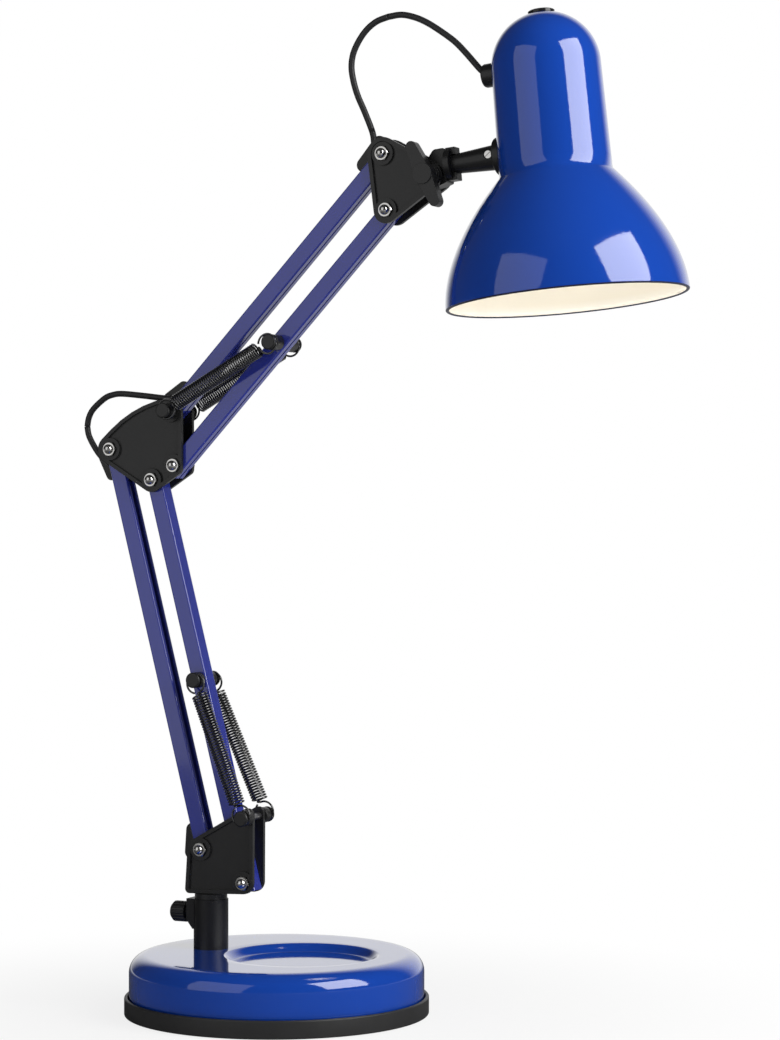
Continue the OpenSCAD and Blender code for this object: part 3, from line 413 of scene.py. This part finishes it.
# The base's cover is one pressing of steel sheet with a big round shoulder and a shallow round dish,
# set towards the front of the stem. It is sprayed with gloss blue enamel.
def enamel_material(name, deep, bright):
    """Gloss enamel: a clear coat over colour that drifts a little, with a trace of orange peel."""
    material, shader, wire = start_material(name)
    where = wire.add("TexCoord", out="Object")
    peel = wire.add("TexNoise", {}, {"Vector": where, "Scale": 420.0, "Detail": 2.0})
    drift = wire.add("TexNoise", {}, {"Vector": where, "Scale": 16.0, "Detail": 3.0})
    bump = wire.add("Bump", {}, {"Strength": 0.07, "Distance": 0.0004, "Height": peel}, out="Normal")
    set_shader(shader, wire, {
        "Base Color": drift.mix(deep, bright),
        "Roughness": 0.05 + drift * 0.05,
        "Coat Weight": 1.0,
        "Coat Roughness": 0.05,
        "Normal": bump,
    })
    return material


blue_enamel = enamel_material("blue_enamel", (0.006, 0.054, 0.38, 1), (0.008, 0.066, 0.45, 1))
cover_r, cover_z0, cover_z1, shoulder = 0.0824, 0.002, 0.0334, 0.010
dish_x, dish_r, dish_depth, dish_slope = 0.0155, 0.042, 0.0042, 0.004
dish_edge, skirt_z = 0.0016, 0.012
dish_rings = [on_axis, 0.012, 0.024, 0.033]


def cover_grid(columns=288):
    """Rays spread from the dish's middle. Along each one the rings are circles round the dish as far as
    its rounded edge, then circles that shift step by step to the base's middle, over the shoulder and
    down."""
    a = np.linspace(0, 2 * np.pi, columns, endpoint=False)
    ray = np.stack([np.cos(a), np.sin(a)], -1)
    flat_r = cover_r - shoulder
    along = -dish_x * ray[:, 0] + np.sqrt(flat_r ** 2 - (dish_x * ray[:, 1]) ** 2)
    edge = np.array([dish_x, 0]) + along[:, None] * ray
    s = np.linspace(0, 1, 15)
    wall_r = dish_r - dish_slope + (dish_slope + dish_edge) * s
    wall_z = cover_z1 - dish_depth + dish_depth * (s * s * (3 - 2 * s))
    inner_r = np.concatenate([dish_rings, wall_r])
    inner_z = np.concatenate([np.full(len(dish_rings), cover_z1 - dish_depth), wall_z])
    inner = np.array([dish_x, 0]) + inner_r[:, None, None] * ray
    t = np.linspace(0, 1, 7)[1:, None, None]
    flat = (1 - t) * inner[-1] + t * edge
    bend = np.radians(np.linspace(0, 90, 17)[1:])
    side_r = np.concatenate([flat_r + shoulder * np.sin(bend), [cover_r, cover_r]])
    side_z = np.concatenate([cover_z1 - shoulder + shoulder * np.cos(bend), [skirt_z, cover_z0]])
    plan = np.concatenate([inner, flat, side_r[:, None, None] * unit(edge)])
    z = np.concatenate([inner_z, np.full(len(flat), cover_z1), side_z])
    return np.concatenate([plan, np.broadcast_to(z[:, None, None], plan.shape[:2] + (1,))], -1)


cover = grid_mesh("base_cover_pressing", cover_grid())
cover.data.materials.append(blue_enamel)
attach(cover, "base")
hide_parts("base_cover")


# The ballast is a rough iron casting, and the stem's nut is plain plated steel. Both are shut inside
# the base.
def steel_material(name, colour, rough):
    """Plated steel: metallic, with fine drawn scratches that change its gloss."""
    material, shader, wire = start_material(name)
    where = wire.add("TexCoord", out="Object")
    stretch = wire.add("Mapping", {}, {"Vector": where, "Scale": (900.0, 60.0, 900.0)})
    scratch = wire.add("TexNoise", {}, {"Vector": stretch, "Scale": 1.0, "Detail": 3.0})
    set_shader(shader, wire, {
        "Base Color": scratch.mix(tuple(0.86 * v for v in colour) + (1,), tuple(colour) + (1,)),
        "Metallic": 1.0,
        "Roughness": rough - 0.06 + scratch * 0.12,
    })
    return material


def iron_material():
    """Sand-cast iron: dark, rough and pitted."""
    material, shader, wire = start_material("cast_iron")
    where = wire.add("TexCoord", out="Object")
    pits = wire.add("TexNoise", {}, {"Vector": where, "Scale": 500.0, "Detail": 5.0})
    bump = wire.add("Bump", {}, {"Strength": 0.5, "Distance": 0.0006, "Height": pits}, out="Normal")
    set_shader(shader, wire, {
        "Base Color": pits.mix((0.03, 0.03, 0.032, 1), (0.09, 0.085, 0.08, 1)),
        "Metallic": 0.6,
        "Roughness": 0.55 + pits * 0.25,
        "Normal": bump,
    })
    return material


def paint_nodes(material, *names):
    """Gives CAD nodes that are shown as they are a finish."""
    for name in names:
        slots = frame["nodes"][name].data.materials
        slots.clear()
        slots.append(material)


plated_steel = steel_material("plated_steel", (0.55, 0.55, 0.57), 0.34)
paint_nodes(iron_material(), "base_ballast")
paint_nodes(plated_steel, "stem_nut", "tube_nut", "holder_strap")


# The stem, the swivel post in it and the thumbscrew that locks it are black mouldings with softened
# edges. The thumbscrew's head is fluted.
def softened(node, width, material, segments=3, angle=32):
    """Copy of a CAD node with its edges rounded: points merged, flats made whole, edges sharper than
    the angle rounded to the width, and the shading kept flat on large faces."""
    source = frame["nodes"][node]
    piece = bpy.data.objects.new(node + "_moulding", source.data.copy())
    bpy.context.collection.objects.link(piece)
    piece.data.materials.clear()
    piece.data.materials.append(material)
    for kind, name, settings in (
        ("WELD", "weld", {"merge_threshold": 0.00001}),
        ("DECIMATE", "flats", {"decimate_type": "DISSOLVE", "angle_limit": np.radians(0.6)}),
        ("BEVEL", "edges", {"width": width, "segments": segments, "limit_method": "ANGLE",
                            "angle_limit": np.radians(angle), "use_clamp_overlap": True,
                            "harden_normals": False}),
        ("WEIGHTED_NORMAL", "shading", {"keep_sharp": False, "weight": 80}),
    ):
        modifier = piece.modifiers.new(name, kind)
        for key, value in settings.items():
            setattr(modifier, key, value)
    piece.data.polygons.foreach_set("use_smooth", np.ones(len(piece.data.polygons), bool))
    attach(piece, body_of[node])
    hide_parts(node)
    return piece


black_plastic = plastic_material("black_plastic", 2200.0, 0.012, 0.020, 0.33)
# The stem's plastic is painted darker than the other black mouldings: painted shade.
stem_plastic_painted_darker = plastic_material("stem_plastic_painted_darker", 2200.0, 0.006, 0.010, 0.42)
softened("stem", 0.0005, stem_plastic_painted_darker)
softened("swivel_post", 0.0004, black_plastic)
softened("thumbscrew", 0.0003, black_plastic, segments=2)


# Each joint has a pair of black moulded plates with a raised rim and raised bosses, clamped on the arms
# by bolts with bright nickel-plated nuts in front.
for place in ("bracket", "elbow", "head"):
    for plate in ("front", "rear"):
        softened(f"{place}_{plate}", 0.0005, black_plastic)
bright_nickel = steel_material("bright_nickel", (0.86, 0.85, 0.83), 0.12)
paint_nodes(bright_nickel, "bracket_bolts", "bracket_nuts", "elbow_bolts", "elbow_nuts",
            "head_bolts", "head_nuts", "tilt_bolt", "tube_screw")


# The four arms are square channels rolled from thin steel strip, in the base's blue enamel painted darker and
# duller as painted shade.
# The back pair carries the flex, and the fore pair has the spring pins through it. Under the upper
# pair the strip's edges are folded in to a narrow seam.
# The arms' enamel is the blue painted darker and duller: painted shade.
arm_enamel_painted_darker = enamel_material("arm_enamel_painted_darker", (0.026, 0.038, 0.29, 1), (0.032, 0.046, 0.35, 1))
for name in ("lower_arm_back", "lower_arm_fore", "upper_arm_back", "upper_arm_fore"):
    softened(name, 0.0003, arm_enamel_painted_darker, segments=2)
arm_half, arm_sheet, slot_half, seam_half = 0.0048, 0.001, 0.0022, 0.0007
lip_from, lip_to = -0.0055, 0.1975
arm_rise = np.radians(upper_lean)
up_the_arm = np.array([np.cos(arm_rise), 0, np.sin(arm_rise)])
below = np.array([np.sin(arm_rise), 0, -np.cos(arm_rise)])
for name, pivot in (("upper_arm_back", "upper_arm"), ("upper_arm_fore", "upper_arm_fore")):
    ends = np.array(joints[pivot]["pos_m"]) + np.array([[lip_from], [lip_to]]) * up_the_arm
    for place, side in (("near", -1), ("far", 1)):
        section = np.array([(arm_half - arm_sheet, slot_half), (arm_half, slot_half),
                            (arm_half, seam_half), (arm_half - arm_sheet, seam_half)])
        lip_grid = ends[:, None] + section[:, :1] * below + section[:, 1:] * np.array([0, side, 0])
        lip = grid_mesh(f"{name}_lip_{place}", lip_grid)
        lip.data.polygons.foreach_set("use_smooth", np.zeros(len(lip.data.polygons), bool))
        lip.data.materials.append(arm_enamel_painted_darker)
        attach(lip, body_of[name])
        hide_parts(name)
paint_nodes(plated_steel, "foot_post", "lower_pin", "elbow_post", "upper_pin")
for name in ("foot_post_bobbins", "lower_pin_bobbins", "elbow_post_bobbins", "upper_pin_bobbins"):
    softened(name, 0.0006, black_plastic)


# The balance springs are close coils of black lacquered wire, two beside each pair of arms. A round
# loop at each end hooks into a bobbin's groove. The loop on the arm's pin moves with the arm.
def wire_material():
    """Lacquered spring wire: black, half gloss, with the lacquer rubbed a little in patches."""
    material, shader, wire = start_material("spring_wire")
    where = wire.add("TexCoord", out="Object")
    rub = wire.add("TexNoise", {}, {"Vector": where, "Scale": 700.0, "Detail": 4.0})
    worn = wire.add("ValToRGB", {"stops": [(0.58, 0.0), (0.75, 1.0)]}, {"Fac": rub})
    set_shader(shader, wire, {
        "Base Color": worn.mix((0.004, 0.004, 0.005, 1), (0.016, 0.016, 0.018, 1)),
        "Roughness": 0.26 + rub * 0.14,
        "Specular IOR Level": 0.3,
        "Coat Weight": 1.0,
        "Coat Roughness": 0.04,
        "Coat IOR": 2.0,
    })
    return material


spring_wire = wire_material()
coil_r, loop_r, wire_r = 0.0041, 0.0055, 0.0006
lead, seat_gap, hook_stem = 0.0016, 0.0002, 0.005
loop_opening, ring_steps, rise_steps, turn_steps, wire_sides = 28, 40, 12, 18, 8


def spring_grids(length, turns, groove_a, groove_b):
    """Wire along +X from a rod at 0 to a rod at the length: an open loop round the first rod, a spiral
    half turn out to the coil's radius, the helix and a half turn in again. The loop round the second
    rod is a grid of its own with a stem inside the coil. The ring's side axis turns from square to the
    loop's plane to the coil's axis as the wire leaves the loop."""
    middle = [loop_r - wire_r - groove - seat_gap for groove in (groove_a, groove_b)]
    x0 = middle[0] + loop_r + lead
    x1 = length - middle[1] - loop_r - lead

    def end(mid):
        a = np.radians(np.linspace(loop_opening, 360, ring_steps))
        ring = np.stack([mid + loop_r * np.cos(a), loop_r * np.sin(a), 0 * a], -1)
        t = np.linspace(0, 1, rise_steps)[1:-1]
        r = coil_r * np.sin(np.pi / 2 * t)
        rise = np.stack([mid + loop_r + lead * t, r * np.cos(np.pi * t), r * np.sin(np.pi * t)], -1)
        return np.concatenate([ring, rise]), np.concatenate([0 * a, t])

    first, first_share = end(middle[0])
    last, last_share = end(middle[1])
    steps = turns * turn_steps
    a = np.pi + 2 * np.pi * turns * np.linspace(0, 1, steps + 1)
    coil = np.stack([np.linspace(x0, x1, steps + 1), coil_r * np.cos(a), coil_r * np.sin(a)], -1)
    last = last[::-1] * [-1, 1, -1] + [length, 0, 0]
    path = np.concatenate([first, coil, last])
    share = np.concatenate([first_share, np.ones(steps + 1), last_share[::-1]])[:, None]
    side = (1 - share) * np.array([0.0, 0.0, 1.0]) + share * np.array([1.0, 0.0, 0.0])
    inside = path[-ring_steps] - np.linspace(hook_stem, 0, 6)[:-1, None] * [1, 0, 0]
    hook = np.concatenate([inside, path[-ring_steps:]])
    coiled = slice(0, len(path) - ring_steps + 1)
    return (tube(path[coiled], wire_r, wire_sides, side[coiled]),
            tube(hook, wire_r, wire_sides, (0, 0, 1)))


rod_y, end_held, coil_turns = 0.014, 0.008, 42
across = np.array([0.0, -1.0, 0.0])
for pair, slide, turn_joint, grooves, pin_y in (
    ("lower", "lower_springs_stretch", "lower_bobbins_turn", (0.0027, 0.0027), 0.010),
    ("upper", "upper_springs_stretch", "upper_bobbins_turn", (0.0032, 0.0027), 0.014),
):
    rod = np.array(joints[turn_joint]["pos_m"])
    pin = np.mean(frame["nodes"][pair + "_pin"].bound_box, axis=0)
    length = np.linalg.norm(pin - rod)
    axis = (pin - rod) / length
    for part, grid in zip(("coil", "hook"), spring_grids(length, coil_turns, *grooves)):
        x, y, z = np.split(grid, 3, axis=-1)
        grid = rod + x * axis + y * np.cross(across, axis) + z * across
        outward = (rod_y + (pin_y - rod_y) * x / length) * across
        for place, layer in (("near", outward), ("far", -outward)):
            spring = grid_mesh(f"{pair}_spring_{place}_{part}", grid + layer)
            spring.data.materials.append(spring_wire)
            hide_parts(f"{pair}_spring_{place}")
            if part == "coil":
                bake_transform(spring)
            else:
                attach(spring, body_of[pair + "_pin"])


# The head's knuckle, the shade tube with its flange, the round collar, the wing knob that clamps the
# tilt, and the cord gland are black mouldings too.
softened("knuckle", 0.0006, black_plastic)
softened("shade_tube", 0.0005, black_plastic)
softened("shade_collar", 0.0005, black_plastic)
softened("wing_knob", 0.0011, black_plastic, segments=4)
softened("cord_gland", 0.0006, black_plastic)


# The shade is spun from one sheet of steel: a domed neck, a sharp waist and a flaring bell with a
# rolled rim. It is blue enamel outside and white enamel inside.
tilt = np.array(joints["head_tilt"]["pos_m"])
lean = np.radians(5.6)
head_x = np.array([np.cos(lean), 0, np.sin(lean)])
head_z = np.array([-np.sin(lean), 0, np.cos(lean)])
shade_x = 0.0706


def in_head(grid):
    """Carries a shape turned about Z to the shade's axis in the head's own leaning frame."""
    return (tilt + (grid[..., :1] + shade_x) * head_x + grid[..., 1:2] * np.array([0.0, 1.0, 0.0])
            + grid[..., 2:] * head_z)


def shade_material():
    """Two enamels parted at the rim: the inside mark chooses white over blue, each with its own gloss.
    Along the profile's share the roll at the middle is painted near-black as painted shadow of the
    rim's groove, and deeper inside the white is painted cream as painted warm light, so the white
    beside the roll stays whiter."""
    material, shader, wire = start_material("shade_enamel")
    where = wire.add("TexCoord", out="Object")
    inside = wire.add("Attribute", {"attribute_name": "inside"}, out="Fac")
    peel = wire.add("TexNoise", {}, {"Vector": where, "Scale": 420.0, "Detail": 2.0})
    drift = wire.add("TexNoise", {}, {"Vector": where, "Scale": 16.0, "Detail": 3.0})
    blue = drift.mix((0.006, 0.054, 0.38, 1), (0.008, 0.066, 0.45, 1))
    flat = wire.add("TexCoord", out="UV")
    along = wire.add("SeparateXYZ", {}, {"Vector": flat}, out="Y")
    # The roll's band is painted near-black: painted shadow of the groove at the rim.
    roll = wire.ease(along, 0.466, 0.472, 0.0, 1.0) * wire.ease(along, 0.525, 0.531, 1.0, 0.0)
    # Deeper inside, the white is painted cream as painted warm light; the band by the roll stays whiter.
    band_free_of_painted_warmth = wire.ease(along, 0.534, 0.552, 1.0, 0.0)
    white = band_free_of_painted_warmth.mix(drift.mix((0.80, 0.77, 0.70, 1), (0.86, 0.83, 0.76, 1)), (0.90, 0.90, 0.89, 1))
    bump = wire.add("Bump", {}, {"Strength": 0.07, "Distance": 0.0004, "Height": peel}, out="Normal")
    set_shader(shader, wire, {
        "Base Color": roll.mix(inside.mix(blue, white), (0.004, 0.008, 0.045, 1)),
        "Roughness": 0.05 + drift * 0.05 + (inside + roll - inside * roll) * 0.35,
        "Coat Weight": (1.0 - inside * 0.9) * (1.0 - roll),
        "Coat Roughness": 0.05,
        "Normal": bump,
    })
    return material


dome_z, dome_r, waist_r, neck_l = 0.0489, 0.0294, 0.0304, 0.0579
bell_l, rim_r, bell_power, bell_crowding = 0.0675, 0.0652, 1.8, 1.15
sheet, bead, roll_outside = 0.0008, 0.001, 7
waist_z = dome_z - neck_l
rim_z = waist_z - bell_l


def shade_wall(inset):
    """One side of the sheet from the crown to the rim: a quarter circle, a neck that widens evenly, and
    a bell whose radius nears the rim's as a power of what is left of its length."""
    dome = arc((0, dome_z), dome_r - inset, 90, 0, 26)
    dome[0, 0] = on_axis
    down = np.linspace(0, 1, 10)[1:-1]
    neck = np.stack([dome_r - inset + (waist_r - dome_r) * down, dome_z - neck_l * down], -1)
    t = np.concatenate([[0.0], np.linspace(0, 1, 34)[1:] ** bell_crowding])
    bell_r = rim_r - inset - (rim_r - waist_r) * (1 - t) ** bell_power
    bell = np.stack([bell_r, waist_z - bell_l * t], -1)
    return np.concatenate([dome, neck, bell])


outer = shade_wall(0.0)
inner = shade_wall(sheet)
roll = arc((rim_r - bead, rim_z), bead, 0, -180, 11)[1:-1]
shade_profile = np.concatenate([outer, roll, inner[::-1]])
outside_rows = len(outer) + roll_outside
inside_mark = (np.arange(len(shade_profile)) >= outside_rows).astype(float)
shade = grid_mesh("shade_spinning", in_head(lathe(shade_profile, 256)), marks=inside_mark)
shade.data.materials.append(shade_material())
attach(shade, "shade")
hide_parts("shade")


# Inside the shade are a cream moulded lampholder on a steel strap and a round opal bulb. The holder has
# a ribbed skirt, and the bulb's glass runs in one curve into its cap.
def holder_material():
    """Cream moulded plastic with a faint mottle."""
    material, shader, wire = start_material("holder_plastic")
    where = wire.add("TexCoord", out="Object")
    mottle = wire.add("TexNoise", {}, {"Vector": where, "Scale": 160.0, "Detail": 4.0})
    set_shader(shader, wire, {
        "Base Color": mottle.mix((0.66, 0.63, 0.55, 1), (0.74, 0.71, 0.63, 1)),
        "Roughness": 0.30 + mottle * 0.12,
    })
    return material


def opal_material():
    """Opal glass, softly lit from inside: milky white under a clear gloss, thinner in places."""
    material, shader, wire = start_material("opal_glass")
    where = wire.add("TexCoord", out="Object")
    cloud = wire.add("TexNoise", {}, {"Vector": where, "Scale": 40.0, "Detail": 3.0})
    set_shader(shader, wire, {
        "Base Color": cloud.mix((0.83, 0.82, 0.79, 1), (0.90, 0.89, 0.86, 1)),
        "Roughness": 0.10 + cloud * 0.06,
        "Coat Weight": 0.5,
        "Emission Color": (1.0, 0.93, 0.80, 1),
        "Emission Strength": 4.1,
    })
    return material


softened("lampholder", 0.0006, holder_material())
globe_r, globe_drop, cap_r, cap_taper = 0.0225, 0.002, 0.013, 0.004
glass_top, cap_shoulder, cap_top = waist_z + 0.001, waist_z + 0.020, waist_z + 0.0255
globe_z = glass_top - globe_r - globe_drop
glass_turn = np.radians(np.linspace(-90, 42, 40))
glass = np.stack([globe_r * np.cos(glass_turn), globe_z + globe_r * np.sin(glass_turn)], -1)
glass[0, 0] = on_axis
neck_share = np.linspace(0, 1, 12)[1:, None]
neck_from, neck_to = glass[-1], np.array([cap_r, glass_top])
ease = neck_share * neck_share * (3 - 2 * neck_share)
glass_neck = np.concatenate([neck_from[0] + (neck_to[0] - neck_from[0]) * ease,
                             neck_from[1] + (neck_to[1] - neck_from[1]) * neck_share], -1)
cap = np.array([(cap_r, cap_shoulder), (cap_r - cap_taper, cap_top), (on_axis, cap_top)])
bulb_profile = np.concatenate([glass, glass_neck, cap])
bulb = grid_mesh("bulb_globe", in_head(lathe(bulb_profile, 128)))
bulb.data.materials.append(opal_material())
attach(bulb, "shade")
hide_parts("bulb")


# The push switch sits on the crown: a body inside the dome, a low black bezel outside and a domed
# button, both glossier than the other mouldings.
gloss_black = plastic_material("gloss_black", 3000.0, 0.010, 0.014, 0.16)
paint_nodes(black_plastic, "switch_body")
softened("switch_bezel", 0.0004, gloss_black)
softened("switch_button", 0.0004, gloss_black)
